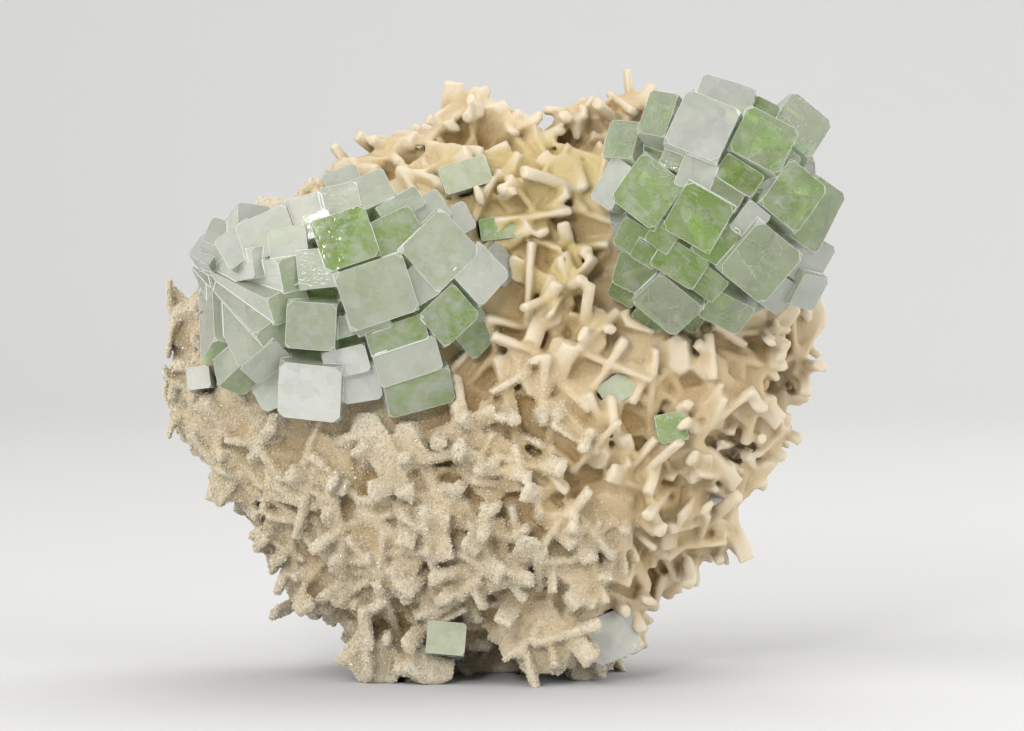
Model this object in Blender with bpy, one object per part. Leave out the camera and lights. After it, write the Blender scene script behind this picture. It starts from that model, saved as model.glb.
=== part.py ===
"""Fluorapophyllite on stilbite, a hand-sized mineral specimen that stands on its broken foot.

The specimen faces -Y, with +X to its right and +Z up. The origin is under the middle of its box, on
the surface it stands on. Lists are in millimetres, in that same frame, and MM turns them into metres.
"""

import math
import random

import bmesh
import bpy
from mathutils import Matrix, Vector, noise

MM = 0.001

# Driving dimensions of the stilbite, in millimetres
BODY_CENTRE_HEIGHT = 47.7
BODY_FRONT_DEPTH = 21.0
BODY_BACK_DEPTH = 24.0
BODY_SQUARENESS = 2.5
BODY_SUBDIVISIONS = 4
BODY_FACES_KEPT = 0.44
# How far the stilbite reaches from its middle, every 15 degrees from +X round to +Z and on
BODY_REACH = (
    44.0, 49.0, 51.0, 50.5, 48.5, 43.0, 41.0, 42.0, 41.5, 43.0, 46.0, 49.0,
    50.0, 46.0, 42.5, 43.0, 45.5, 43.5, 42.0, 44.0, 43.5, 38.5, 40.0, 41.0,
)
FOOT_SIZE = (40.0, 19.0, 17.0)
FOOT_MIDDLE = (1.0, 8.5, 6.5)

# Driving dimensions of the apophyllite, in millimetres
BALL_CENTRE = Vector((36.2, -15.0, 80.3))
BALL_RADII = Vector((18.6, 18.0, 20.4))
SPRAY_CENTRE = Vector((-24.5, -12.0, 65.8))
SPRAY_RADII = Vector((26.5, 17.0, 21.2))
SPRAY_APEX = Vector((-46.5, -6.0, 69.0))
SEAT_GAP = 0.3

BALL_SHARE_TOWARDS_VIEWER = 0.5
SPRAY_SHARE_TOWARDS_VIEWER = 0.6
CORNER_CUT = 0.11
CROWDING = 1.08


def remove_everything():
    for thing in list(bpy.data.objects):
        bpy.data.objects.remove(thing, do_unlink=True)


def new_collection(name):
    collection = bpy.data.collections.new(name)
    bpy.context.scene.collection.children.link(collection)
    return collection


def make_material(name, colour, roughness, transmission=0.0, ior=1.5):
    material = bpy.data.materials.new(name)
    material.use_nodes = True
    shader = material.node_tree.nodes["Principled BSDF"]
    shader.inputs["Base Color"].default_value = (*colour, 1.0)
    shader.inputs["Roughness"].default_value = roughness
    shader.inputs["Metallic"].default_value = 0.0
    shader.inputs["Transmission Weight"].default_value = transmission
    shader.inputs["IOR"].default_value = ior
    return material


def object_from(bm, name, collection, guide=False):
    """A bmesh in millimetres becomes an object in metres. A guide only shapes other pieces."""
    bmesh.ops.scale(bm, vec=(MM, MM, MM), verts=bm.verts)
    mesh = bpy.data.meshes.new(name)
    bm.to_mesh(mesh)
    bm.free()
    thing = bpy.data.objects.new(name, mesh)
    collection.objects.link(thing)
    if guide:
        thing.hide_render = True
        thing.display_type = "WIRE"
    return thing


def plain(thing):
    """The object with its modifiers worked into its mesh."""
    graph = bpy.context.evaluated_depsgraph_get()
    mesh = bpy.data.meshes.new_from_object(thing.evaluated_get(graph))
    thing.modifiers.clear()
    thing.data = mesh
    return thing


def frame_of(along, towards, spin=0.0):
    """A turn that carries +X along the first direction and +Z as near as it can towards the second."""
    x_axis = along.normalized()
    z_axis = (towards - towards.project(x_axis)).normalized()
    y_axis = z_axis.cross(x_axis)
    turn = Matrix((x_axis, y_axis, z_axis)).transposed()
    return turn @ Matrix.Rotation(spin, 3, "X")


# The stilbite

def reach(angle):
    """The body's reach in millimetres at an angle in radians, smoothed between the stated ones."""
    step = math.tau / len(BODY_REACH)
    place = (angle % math.tau) / step
    first = int(place) % len(BODY_REACH)
    share = place - int(place)
    share = share * share * (3.0 - 2.0 * share)
    after = BODY_REACH[(first + 1) % len(BODY_REACH)]
    return BODY_REACH[first] * (1.0 - share) + after * share


# Places where the front swells (+) or falls back (-): x, z, radius, height
FRONT_SWELLS = (
    (8.0, 72.0, 13.0, -6.0),
    (-24.0, 64.0, 20.0, -5.0),
    (36.0, 80.0, 17.0, -6.0),
    (8.0, 14.0, 13.0, 3.5),
    (-22.0, 30.0, 14.0, 1.0),
    (20.0, 30.0, 12.0, 2.0),
    (0.0, 48.0, 10.0, -2.5),
    (26.0, 47.0, 8.0, -3.0),
)


def front_depth(x, z):
    """How far the bare front stands forward of the middle plane at x, z, in millimetres."""
    up = z - BODY_CENTRE_HEIGHT
    share = min(1.0, math.hypot(x, up) / reach(math.atan2(up, x)))
    depth = BODY_FRONT_DEPTH * (1.0 - share**BODY_SQUARENESS) ** (1.0 / BODY_SQUARENESS)
    for swell_x, swell_z, radius, height in FRONT_SWELLS:
        distance = math.hypot(x - swell_x, z - swell_z) / radius
        depth += height * math.exp(-distance * distance) * (1.0 - share**4)
    return depth


def stilbite_body(name, collection, grow=0.0, guide=False):
    """The massive part: a round ball drawn out to the outline's reach, with uneven broken faces.

    grow moves its whole surface outwards, for the room that the apophyllite leaves round it.
    """
    bm = bmesh.new()
    bmesh.ops.create_icosphere(bm, subdivisions=BODY_SUBDIVISIONS, radius=1.0)
    squareness = 2.0 / BODY_SQUARENESS
    for vert in bm.verts:
        flat = math.hypot(vert.co.x, vert.co.z)
        angle = math.atan2(vert.co.z, vert.co.x)
        share = flat**squareness
        x = share * reach(angle) * math.cos(angle)
        z = share * reach(angle) * math.sin(angle) + BODY_CENTRE_HEIGHT
        if vert.co.y < 0.0:
            y = -front_depth(x, z) if share < 0.999 else 0.0
        else:
            y = BODY_BACK_DEPTH * vert.co.y**squareness
        place = Vector((x, y, z))
        outward = vert.co.normalized()
        lumps = noise.noise(place / 11.0) * 2.2 + noise.noise(place / 4.5) * 1.1
        vert.co = place + outward * lumps
    bmesh.ops.recalc_face_normals(bm, faces=bm.faces)
    body = object_from(bm, name, collection, guide)
    thin_out = body.modifiers.new("broad broken faces", "DECIMATE")
    thin_out.ratio = BODY_FACES_KEPT
    body = plain(body)
    moves = [vert.normal * grow * MM for vert in body.data.vertices]
    for vert, move in zip(body.data.vertices, moves):
        vert.co += move
    return body


def stilbite_blade(name, start, end, width, thickness, roll, collection):
    """One stilbite crystal: a flat six-sided tablet, drawn out along its length, with roofed ends."""
    along = end - start
    bm = bmesh.new()
    bmesh.ops.create_cone(
        bm, segments=6, cap_ends=True, cap_tris=False, radius1=0.5, radius2=0.5, depth=1.0,
        matrix=Matrix.Rotation(math.radians(30.0), 4, "Z"),
    )
    long_side = 0.5 - 0.32 * min(1.0, width / along.length)
    for vert in bm.verts:
        if abs(vert.co.x) < 0.4:
            vert.co.x = math.copysign(long_side, vert.co.x)
            vert.co.y = math.copysign(0.5, vert.co.y)
        else:
            vert.co.y = 0.0
            vert.co.z *= 0.8
    bmesh.ops.scale(bm, vec=(along.length, width, thickness), verts=bm.verts)
    turn = frame_of(along, Vector((0.0, -1.0, 0.0)), roll).to_4x4()
    bmesh.ops.transform(bm, matrix=Matrix.Translation((start + end) / 2.0) @ turn, verts=bm.verts)
    return object_from(bm, name, collection, guide=True)


# Blades on the front: x, z and height above the bare front at each end, then width and thickness
FRONT_BLADES = (
    (-9.5, 42.2, 2.5, 0.0, 39.6, 3.5, 4.6, 4.0),
    (-2.0, 41.2, 3.0, 10.5, 33.0, 3.5, 4.6, 4.0),
    (24.2, 39.5, 3.0, 24.8, 27.8, 4.5, 4.8, 4.5),
    (12.5, 31.5, 1.5, 20.5, 25.0, 3.0, 9.5, 4.0),
    (5.5, 23.8, 3.0, 15.5, 16.8, 3.5, 5.0, 4.5),
    (-11.2, 15.6, 3.0, 4.0, 21.8, 3.5, 3.8, 3.6),
    (-11.0, 16.8, 2.5, -8.6, 9.8, 2.5, 3.6, 3.4),
    (12.0, 12.0, 2.5, 24.0, 15.0, 3.0, 4.4, 4.0),
    (17.5, 23.0, 2.5, 26.0, 18.0, 3.5, 6.0, 4.0),
    (28.5, 29.5, 3.0, 38.0, 23.6, 4.0, 7.5, 5.0),
    (37.8, 49.2, 3.0, 47.2, 39.4, 5.0, 4.8, 4.0),
    (30.0, 36.6, 3.0, 42.5, 33.8, 3.5, 4.8, 3.6),
    (26.0, 24.0, 1.0, 31.5, 17.0, 2.0, 8.0, 4.0),
    (7.8, 31.0, 2.5, 14.0, 24.4, 3.0, 2.8, 2.8),
    (9.5, 46.6, 2.5, 18.6, 37.2, 3.5, 3.9, 3.4),
    (17.8, 46.4, 2.5, 22.2, 38.8, 2.5, 2.6, 2.6),
    (19.5, 54.0, 2.0, 25.5, 48.8, 1.5, 5.2, 2.4),
    (0.2, 55.6, 2.5, 2.8, 44.0, 2.5, 2.3, 2.4),
    (-7.2, 52.4, 2.5, -6.0, 43.4, 2.5, 2.5, 2.5),
    (2.8, 57.6, 3.0, 6.9, 48.2, 2.5, 3.4, 3.0),
    (11.0, 58.6, 3.0, 7.2, 48.4, 2.5, 2.9, 2.8),
    (-2.8, 47.6, 2.0, 1.8, 43.6, 2.0, 3.0, 2.6),
    (30.2, 59.0, 2.5, 30.8, 51.8, 2.5, 4.0, 3.0),
    (31.8, 50.0, 1.5, 37.5, 43.0, 3.0, 7.5, 3.6),
    (32.8, 55.0, 2.5, 39.8, 48.0, 3.0, 4.0, 3.0),
    (45.6, 57.5, 3.0, 41.4, 47.8, 3.0, 3.6, 3.0),
    (1.2, 70.9, 2.5, 9.4, 66.2, 3.0, 3.7, 3.2),
    (10.3, 70.6, 3.0, 8.7, 59.6, 3.5, 3.0, 2.8),
    (13.4, 73.2, 2.5, 12.7, 65.4, 2.5, 2.2, 2.4),
    (16.2, 63.6, 2.5, 16.7, 56.0, 2.5, 3.2, 2.6),
    (0.2, 80.6, 1.5, 11.4, 82.6, 2.0, 5.5, 3.6),
    (4.8, 79.4, 2.0, 7.8, 72.6, 2.0, 2.4, 2.4),
    (10.2, 88.0, 2.5, 14.2, 82.2, 2.5, 3.2, 2.4),
    (-22.8, 45.5, 3.0, -15.4, 34.0, 3.5, 4.9, 4.0),
    (-15.8, 44.4, 2.5, -11.6, 37.0, 2.5, 3.9, 3.2),
    (-31.5, 40.0, 1.0, -23.5, 36.0, 1.5, 6.5, 3.0),
    (-38.4, 35.8, 2.0, -27.8, 30.6, 2.5, 4.4, 3.2),
    (-17.0, 30.8, 2.5, -4.6, 31.0, 2.5, 5.2, 3.8),
    (-17.4, 15.4, 3.0, -10.4, 29.0, 3.5, 4.4, 3.8),
    (-25.6, 9.8, 2.5, -17.6, 14.0, 3.0, 4.0, 3.4),
    (-39.6, 45.4, 1.5, -36.4, 40.2, 1.5, 3.8, 3.0),
    (-29.4, 23.2, 2.0, -16.4, 25.4, 2.0, 6.2, 3.4),
    (-33.6, 14.0, 1.5, -25.4, 17.2, 2.0, 4.2, 3.0),
    (-5.6, 37.0, 2.0, 0.6, 30.6, 2.5, 3.2, 2.8),
    (1.4, 28.4, 2.5, -5.4, 23.0, 2.5, 2.7, 2.6),
    (-3.4, 33.8, 2.0, 3.0, 36.4, 2.0, 2.6, 2.4),
    (-40.0, 27.0, 0.5, -33.0, 19.0, 0.5, 5.0, 3.6),
    (26.4, 44.0, 1.5, 33.0, 39.4, 2.5, 4.4, 3.0),
    (-22.0, 20.8, 1.5, -27.6, 30.8, 1.5, 3.4, 3.0),
    (18.6, 34.8, 2.0, 23.6, 32.0, 2.0, 3.2, 2.8),
    (20.4, 62.0, 2.0, 27.4, 60.0, 2.0, 4.0, 3.0),
    (36.0, 59.6, 2.0, 44.6, 61.6, 2.0, 4.6, 3.0),
)

# Tablets and lumps on the rim: x, y, z of each end, then width and thickness
RIM_TABLETS = (
    (-10.0, 1.0, 91.4, 3.2, 0.0, 93.2, 9.5, 6.0),
    (-7.5, 3.0, 83.0, -3.2, 1.0, 96.6, 9.0, 5.0),
    (-17.2, 0.0, 82.0, -15.4, -1.0, 91.2, 4.6, 4.0),
    (9.4, -1.0, 92.0, 19.0, 0.0, 92.4, 6.0, 5.0),
    (16.0, 2.0, 86.0, 25.6, 0.0, 97.4, 7.0, 5.0),
    (-56.2, -3.0, 57.8, -44.0, -4.0, 63.8, 6.6, 6.0),
    (-53.8, -3.0, 49.0, -45.0, -3.0, 59.0, 7.0, 6.0),
    (-55.0, -4.0, 52.0, -44.0, -5.0, 44.0, 12.0, 8.0),
    (-52.0, -5.0, 46.0, -38.0, -6.0, 38.0, 9.0, 7.0),
    (-46.2, -4.0, 30.2, -38.4, -5.0, 42.0, 6.0, 6.0),
    (-36.4, -3.0, 30.0, -27.2, -4.0, 11.0, 7.0, 9.0),
    (-25.0, -10.0, 4.6, -14.6, -11.0, 3.8, 7.8, 8.0),
    (-12.2, -13.0, -1.0, -10.6, -12.0, 10.0, 7.6, 7.0),
    (4.0, -14.0, 15.4, 11.4, -14.0, 2.4, 10.5, 9.0),
    (23.0, -1.0, 12.0, 13.6, -4.0, 1.6, 8.0, 7.0),
    (14.4, -8.0, -1.0, 12.8, -7.0, 7.0, 4.0, 5.0),
    (23.6, -3.0, 14.8, 30.2, -2.0, 26.4, 7.0, 7.0),
    (30.0, -3.0, 33.6, 40.6, -3.0, 29.4, 6.0, 6.0),
    (43.0, 1.0, 47.6, 50.0, 0.0, 60.0, 7.0, 6.0),
    (48.0, 0.0, 51.0, 53.0, 0.0, 63.0, 5.0, 5.0),
    (20.0, 2.0, 82.0, 44.0, 4.0, 86.0, 12.0, 9.0),
    (42.0, 3.0, 60.0, 46.0, 3.0, 80.0, 10.0, 8.0),
    (-32.0, 2.0, 77.4, -17.0, 1.0, 86.6, 6.4, 6.0),
    (-45.0, 1.0, 66.6, -30.0, 1.0, 79.0, 6.4, 6.0),
    (-1.0, 8.0, 81.0, 13.0, 7.0, 86.0, 8.0, 6.0),
    (36.0, 4.0, 38.0, 46.0, 5.0, 46.0, 8.0, 7.0),
    (-44.0, 5.0, 40.0, -50.0, 5.0, 56.0, 8.0, 7.0),
)

BACK_BLADE_COUNT = 22
BACK_BLADE_SEED = 11


def front_blades(collection):
    """The blades of the front, each on the bare surface at its own height."""
    for number, row in enumerate(FRONT_BLADES):
        x1, z1, lift1, x2, z2, lift2, width, thickness = row
        start = Vector((x1, -front_depth(x1, z1) - lift1 + thickness / 2.0, z1))
        end = Vector((x2, -front_depth(x2, z2) - lift2 + thickness / 2.0, z2))
        roll = math.radians(noise.noise(Vector((number * 1.7, 0.3, 0.9))) * 50.0)
        stilbite_blade(f"blade_{number:02d}", start, end, width, thickness, roll, collection)


def rim_tablets(collection):
    """The larger tablets that make the uneven edge of the specimen."""
    for number, row in enumerate(RIM_TABLETS):
        start = Vector(row[0:3])
        end = Vector(row[3:6])
        stilbite_blade(f"tablet_{number:02d}", start, end, row[6], row[7], 0.25, collection)


def back_blades(collection):
    """Stubby blades, broken low, strewn over the back, the sides and the underside of the rim."""
    draw = random.Random(BACK_BLADE_SEED)
    turn_between = math.pi * (3.0 - math.sqrt(5.0))
    for number in range(BACK_BLADE_COUNT):
        forward = 0.12 + 0.86 * (number + 0.5) / BACK_BLADE_COUNT
        angle = number * turn_between
        flat = math.sqrt(1.0 - forward * forward)
        share = flat ** (2.0 / BODY_SQUARENESS)
        middle = Vector(
            (
                share * reach(angle) * math.cos(angle),
                BODY_BACK_DEPTH * forward ** (2.0 / BODY_SQUARENESS),
                share * reach(angle) * math.sin(angle) + BODY_CENTRE_HEIGHT,
            )
        )
        outward = Vector((flat * math.cos(angle), forward, flat * math.sin(angle)))
        across = outward.orthogonal().normalized()
        across.rotate(Matrix.Rotation(draw.uniform(0.0, math.tau), 3, outward))
        lean = outward * draw.uniform(0.05, 0.55)
        half = (across + lean).normalized() * draw.uniform(4.5, 8.5)
        seat = middle + outward * 0.6
        stilbite_blade(
            f"blade_back_{number:02d}", seat - half, seat + half,
            draw.uniform(3.4, 6.4), draw.uniform(2.6, 4.2), draw.uniform(-0.9, 0.9), collection,
        )


def foot_lump(collection):
    """The broken foot: a rough block under the body, which gives the specimen its flat rest."""
    bm = bmesh.new()
    bmesh.ops.create_icosphere(bm, subdivisions=2, radius=1.0)
    size = Vector(FOOT_SIZE) / 2.0
    for vert in bm.verts:
        squared = Vector([math.copysign(abs(c) ** 0.55, c) for c in vert.co])
        place = Vector([c * s for c, s in zip(squared, size)]) + Vector(FOOT_MIDDLE)
        vert.co = place + vert.co * noise.noise(place / 6.0) * 2.0
    return object_from(bm, "foot_lump", collection, guide=True)


# The apophyllite

def crystal_block(
    name, face, outward, spin, width, height, length, collection, grow=0.0, guide=True
):
    """One apophyllite crystal: a square prism with a flat end, whose four end corners are cut off.

    face is the middle of its flat end and outward the way that end faces. grow widens it all round.
    """
    bm = bmesh.new()
    bmesh.ops.create_cube(bm, size=1.0)
    bmesh.ops.translate(bm, vec=(-0.5, 0.0, 0.0), verts=bm.verts)
    bmesh.ops.scale(bm, vec=(length + grow, width + 2 * grow, height + 2 * grow), verts=bm.verts)
    end_corners = [vert for vert in bm.verts if vert.co.x > -length / 2.0]
    bmesh.ops.bevel(
        bm, geom=end_corners, offset=CORNER_CUT * min(width, height), segments=1,
        profile=0.5, affect="VERTICES",
    )
    turn = frame_of(outward, Vector((0.0, 0.0, 1.0)), spin).to_4x4()
    place = face + outward.normalized() * grow
    bmesh.ops.transform(bm, matrix=Matrix.Translation(place) @ turn, verts=bm.verts)
    return object_from(bm, name, collection, guide)


# Blocks of the ball, seen from the front: x and z from the ball's centre, width, height, spin in
# degrees, and how far the block stands out of the round
BALL_BLOCKS = (
    (1.2, 17.4, 8.4, 5.6, -20.0, 1.0),
    (-2.6, 12.4, 8.8, 9.2, -23.0, 1.6),
    (-9.6, 14.8, 4.6, 7.4, -10.0, 0.5),
    (-15.4, 10.6, 5.4, 6.0, -4.0, 0.5),
    (-11.3, 2.3, 8.4, 8.8, -36.0, 0.6),
    (-3.7, 5.2, 5.4, 5.0, -21.0, -0.4),
    (-3.3, -1.8, 8.2, 8.2, -30.0, 0.8),
    (7.2, 10.4, 8.6, 8.0, -29.0, 1.0),
    (3.4, 5.0, 6.6, 4.0, -33.0, -0.6),
    (11.9, 1.5, 7.6, 8.6, -38.0, 1.2),
    (13.8, 12.8, 8.0, 8.4, -44.0, 0.8),
    (7.9, 15.6, 4.2, 4.0, -30.0, -0.4),
    (16.4, -1.6, 6.4, 10.4, -30.0, 0.2),
    (15.8, -9.4, 6.2, 7.4, -24.0, 0.2),
    (15.4, -14.4, 5.0, 5.6, -14.0, 0.2),
    (6.6, -8.9, 9.2, 9.8, -38.0, 1.6),
    (-14.0, -5.7, 5.6, 5.0, -30.0, -0.8),
    (-9.2, -5.0, 4.2, 4.2, -36.0, -0.2),
    (-12.0, -8.2, 4.2, 3.2, -32.0, -0.6),
    (-6.4, -9.6, 7.6, 5.4, -34.0, -0.6),
    (-13.4, -11.4, 6.4, 6.2, -26.0, 0.2),
    (-7.8, -15.8, 8.6, 7.4, -46.0, 1.4),
    (-1.4, -13.2, 4.4, 4.4, -40.0, -0.6),
    (1.6, -17.4, 7.2, 5.4, -30.0, 0.6),
    (-15.4, -14.6, 4.4, 4.2, -34.0, -0.4),
    (-10.8, -18.6, 5.0, 4.2, -40.0, -0.2),
    (-4.6, -19.4, 4.2, 3.6, -36.0, -0.4),
    (-0.4, -5.9, 5.2, 6.4, -30.0, -0.8),
    (5.2, -2.6, 4.2, 5.2, -38.0, -0.6),
    (-17.4, 3.6, 4.6, 7.6, -30.0, -0.4),
    (1.2, 2.0, 5.2, 4.0, -28.0, -1.2),
    (11.0, 7.4, 4.4, 4.4, -36.0, -0.8),
    (-6.6, 8.6, 4.8, 5.2, -22.0, -1.0),
    (10.4, -15.0, 5.6, 5.6, -34.0, -0.6),
)
BALL_BLOCK_LENGTH = 15.0
BALL_REAR_COUNT = 22
BALL_REAR_SEED = 5


def face_on_round(x, z, centre, radii, share_towards_viewer, proud):
    """Where a block's flat end sits on the round of its cluster, and which way it faces."""
    flat = (x / radii.x) ** 2 + (z / radii.z) ** 2
    depth = -radii.y * math.sqrt(max(0.08, 1.0 - min(flat, 1.0)))
    on_round = Vector((x, depth, z))
    viewer = Vector((0.0, -1.0, 0.0))
    outward = on_round.normalized().lerp(viewer, share_towards_viewer).normalized()
    return centre + on_round + outward * proud, outward


def ball_layout():
    """Name, face, outward direction, spin, width, height and length of each block of the ball."""
    layout = []
    for number, (x, z, width, height, spin, proud) in enumerate(BALL_BLOCKS):
        face, outward = face_on_round(x, z, BALL_CENTRE, BALL_RADII, BALL_SHARE_TOWARDS_VIEWER, proud)
        layout.append(
            (
                f"ball_block_{number:02d}", face, outward, math.radians(spin),
                width * CROWDING, height * CROWDING, BALL_BLOCK_LENGTH,
            )
        )
    draw = random.Random(BALL_REAR_SEED)
    turn_between = math.pi * (3.0 - math.sqrt(5.0))
    for number in range(BALL_REAR_COUNT):
        back = -0.12 + 1.0 * number / BALL_REAR_COUNT
        flat = math.sqrt(max(0.0, 1.0 - back * back))
        angle = number * turn_between
        radial = Vector((flat * math.cos(angle), back, flat * math.sin(angle)))
        face = BALL_CENTRE + Vector([r * c for r, c in zip(radial, BALL_RADII)]) * 0.93
        size = draw.uniform(5.6, 8.8)
        layout.append(
            (
                f"ball_rear_{number:02d}", face, radial, math.radians(draw.uniform(-60.0, 0.0)),
                size, size * draw.uniform(0.8, 1.15), BALL_BLOCK_LENGTH,
            )
        )
    return layout


# Blocks of the spray, seen from the front: x and z from the spray's centre, width, height, spin in
# degrees, how far the block stands out of the round, and its length
SPRAY_BLOCKS = (
    (3.6, 16.6, 6.6, 5.2, 24.0, 0.8, 16.0),
    (-1.2, 15.0, 6.0, 5.4, 12.0, 0.2, 16.0),
    (-0.2, 8.9, 8.6, 8.2, 19.0, 1.0, 16.0),
    (8.1, 9.8, 7.6, 6.4, 25.0, 0.2, 16.0),
    (8.7, 14.3, 7.2, 3.4, 30.0, 0.2, 14.0),
    (-4.8, 11.4, 4.4, 3.8, 20.0, 0.2, 12.0),
    (4.8, 0.4, 10.8, 9.2, 18.0, 1.6, 16.0),
    (15.0, 7.0, 9.4, 9.0, 42.0, 0.8, 16.0),
    (21.2, 3.0, 7.0, 7.2, 44.0, 1.6, 15.0),
    (16.6, -3.6, 7.4, 6.8, 42.0, 0.4, 15.0),
    (21.2, -6.6, 6.0, 6.6, 44.0, -0.6, 15.0),
    (8.2, -6.8, 9.2, 4.0, 18.0, 0.0, 14.0),
    (9.8, -11.0, 10.0, 5.6, 18.0, 0.8, 15.0),
    (11.2, -15.6, 10.4, 6.0, 15.0, 2.4, 15.0),
    (-5.6, -5.0, 7.6, 7.2, -4.0, 1.6, 14.0),
    (-6.0, -15.6, 9.6, 9.2, -6.0, 2.0, 12.0),
    (-13.0, -16.0, 6.0, 6.4, 22.0, 0.0, 14.0),
    (-0.4, -5.4, 3.8, 3.2, 15.0, -0.4, 12.0),
    (-4.7, 4.2, 6.2, 6.0, 6.0, 0.2, 14.0),
    (2.0, -15.2, 6.2, 6.0, 10.0, -0.6, 14.0),
    (-0.2, -11.4, 6.8, 4.4, 14.0, -0.6, 14.0),
    (-7.6, 13.4, 7.2, 5.0, 16.0, -0.2, 14.0),
    (-13.2, 9.6, 8.6, 6.6, 24.0, 0.4, 14.0),
    (-9.6, 8.2, 6.0, 5.0, 10.0, 0.4, 12.0),
    (-18.0, 8.0, 6.4, 5.4, 36.0, 0.2, 12.0),
    (13.4, 13.6, 6.2, 5.0, 28.0, -0.6, 13.0),
    (18.0, 12.0, 5.6, 4.6, 24.0, -0.8, 12.0),
    (25.4, 4.6, 4.2, 6.0, 42.0, -0.4, 12.0),
    (4.0, -4.0, 5.4, 4.4, 18.0, -0.2, 12.0),
    (12.0, 1.6, 4.8, 5.6, 30.0, -0.2, 12.0),
    (-1.0, 19.0, 5.4, 4.0, 22.0, -0.8, 12.0),
)
# Long crystals of the spray's left side, from its apex: x and z of the far end from the spray's
# centre, how far that end stands forward of the centre, width, height and spin in degrees
SPRAY_RAYS = (
    (-7.6, 3.6, 15.5, 7.6, 5.6, 12.0),
    (-9.4, -1.6, 16.0, 7.0, 5.0, 24.0),
    (-11.0, -6.4, 14.5, 7.2, 5.4, 40.0),
    (-13.4, -11.4, 13.0, 7.4, 5.6, 48.0),
    (-17.4, -14.4, 9.5, 6.6, 5.4, 62.0),
    (-20.6, -10.4, 6.5, 6.0, 6.0, 70.0),
    (-12.6, 5.4, 13.0, 6.4, 5.0, 6.0),
    (-15.4, 12.2, 8.0, 6.0, 5.4, -10.0),
    (-21.0, 9.6, 5.0, 5.4, 5.0, -24.0),
    (-24.0, 7.0, 2.0, 4.4, 4.4, -30.0),
)


def spray_layout():
    """Name, face, outward direction, spin, width, height and length of each block of the spray."""
    layout = []
    for number, (x, z, width, height, spin, proud, length) in enumerate(SPRAY_BLOCKS):
        face, outward = face_on_round(
            x, z, SPRAY_CENTRE, SPRAY_RADII, SPRAY_SHARE_TOWARDS_VIEWER, proud
        )
        layout.append(
            (
                f"spray_block_{number:02d}", face, outward, math.radians(spin),
                width * CROWDING, height * CROWDING, length,
            )
        )
    for number, (x, z, forward, width, height, spin) in enumerate(SPRAY_RAYS):
        face = SPRAY_CENTRE + Vector((x, -forward, z))
        away = face - SPRAY_APEX
        layout.append(
            (
                f"spray_ray_{number:02d}", face, away, math.radians(spin), width, height,
                away.length + 2.0,
            )
        )
    return layout


# Single crystals that grew apart from the two clusters: node name, middle of the flat end, outward
# direction, spin in degrees, width, height, length
SINGLE_CRYSTALS = (
    ("apophyllite_single_top", (-5.2, -15.0, 85.2), (0.1, -1.0, 0.25), 17.0, 8.2, 4.8, 9.0),
    ("apophyllite_single_crevice", (0.6, -15.5, 76.4), (0.0, -1.0, 0.3), 8.0, 6.8, 3.8, 7.0),
    ("apophyllite_single_left", (-50.0, -11.5, 51.2), (-0.2, -1.0, 0.1), 8.0, 4.0, 3.8, 6.0),
    ("apophyllite_single_centre", (20.2, -20.0, 50.0), (0.1, -1.0, 0.2), 34.0, 6.4, 4.2, 7.0),
    ("apophyllite_single_right", (29.0, -20.0, 43.4), (0.1, -1.0, 0.1), 10.0, 5.0, 4.8, 8.0),
    ("apophyllite_single_edge", (37.6, -8.0, 31.6), (0.6, -1.0, 0.2), 20.0, 5.0, 4.4, 8.0),
    ("apophyllite_single_foot", (-8.4, -18.5, 8.2), (0.1, -1.0, 0.2), -6.0, 6.4, 5.4, 8.0),
    ("apophyllite_single_corner", (19.6, -13.5, 8.0), (0.4, -1.0, 0.0), 18.0, 8.6, 8.0, 10.0),
)


def ground_cut(collection):
    """Everything under the ground, which cuts the lumps of the foot off flat."""
    bm = bmesh.new()
    bmesh.ops.create_cube(bm, size=200.0)
    bmesh.ops.translate(bm, vec=(0.0, 0.0, -100.0), verts=bm.verts)
    return object_from(bm, "ground_cut", collection, guide=True)


def fused(base, others, union=True):
    """Joins every guide in the collection to base, or cuts them all out of it.

    The exact solver leaves inner walls where this many blades cross, so the manifold one is used.
    """
    step = base.modifiers.new("joined" if union else "cut", "BOOLEAN")
    step.operation = "UNION" if union else "DIFFERENCE"
    step.operand_type = "COLLECTION"
    step.collection = others
    step.solver = "MANIFOLD"


def settled(thing, name, collection):
    """The evaluated mesh as one plain object: its largest shell, with no sealed gaps or loose chips."""
    mesh = plain(thing).data
    bpy.data.objects.remove(thing)
    bm = bmesh.new()
    bm.from_mesh(mesh)
    unseen = set(bm.faces)
    shells = []
    while unseen:
        shell = {unseen.pop()}
        border = list(shell)
        while border:
            face = border.pop()
            for edge in face.edges:
                for near in edge.link_faces:
                    if near in unseen:
                        unseen.discard(near)
                        shell.add(near)
                        border.append(near)
        shells.append(shell)
    largest = max(shells, key=lambda shell: sum(face.calc_area() for face in shell))
    chips = [face for shell in shells if shell is not largest for face in shell]
    bmesh.ops.delete(bm, geom=chips, context="FACES")
    loose = [vert for vert in bm.verts if not vert.link_faces]
    bmesh.ops.delete(bm, geom=loose, context="VERTS")
    bm.to_mesh(mesh)
    bm.free()
    mesh.name = name
    solid = bpy.data.objects.new(name, mesh)
    collection.objects.link(solid)
    return solid


def finished(thing, name, parts, material):
    """The settled solid with its material."""
    solid = settled(thing, name, parts)
    solid.data.materials.clear()
    solid.data.materials.append(material)
    return solid


def grown_cluster(name, layout, guides, seat, parts, material):
    """The blocks of one cluster, grown together into a single solid that sits on the body."""
    for row in layout[1:]:
        crystal_block(*row, guides)
    first = crystal_block(*layout[0], parts)
    fused(first, guides)
    fused(first, seat, union=False)
    return finished(first, name, parts, material)


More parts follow.
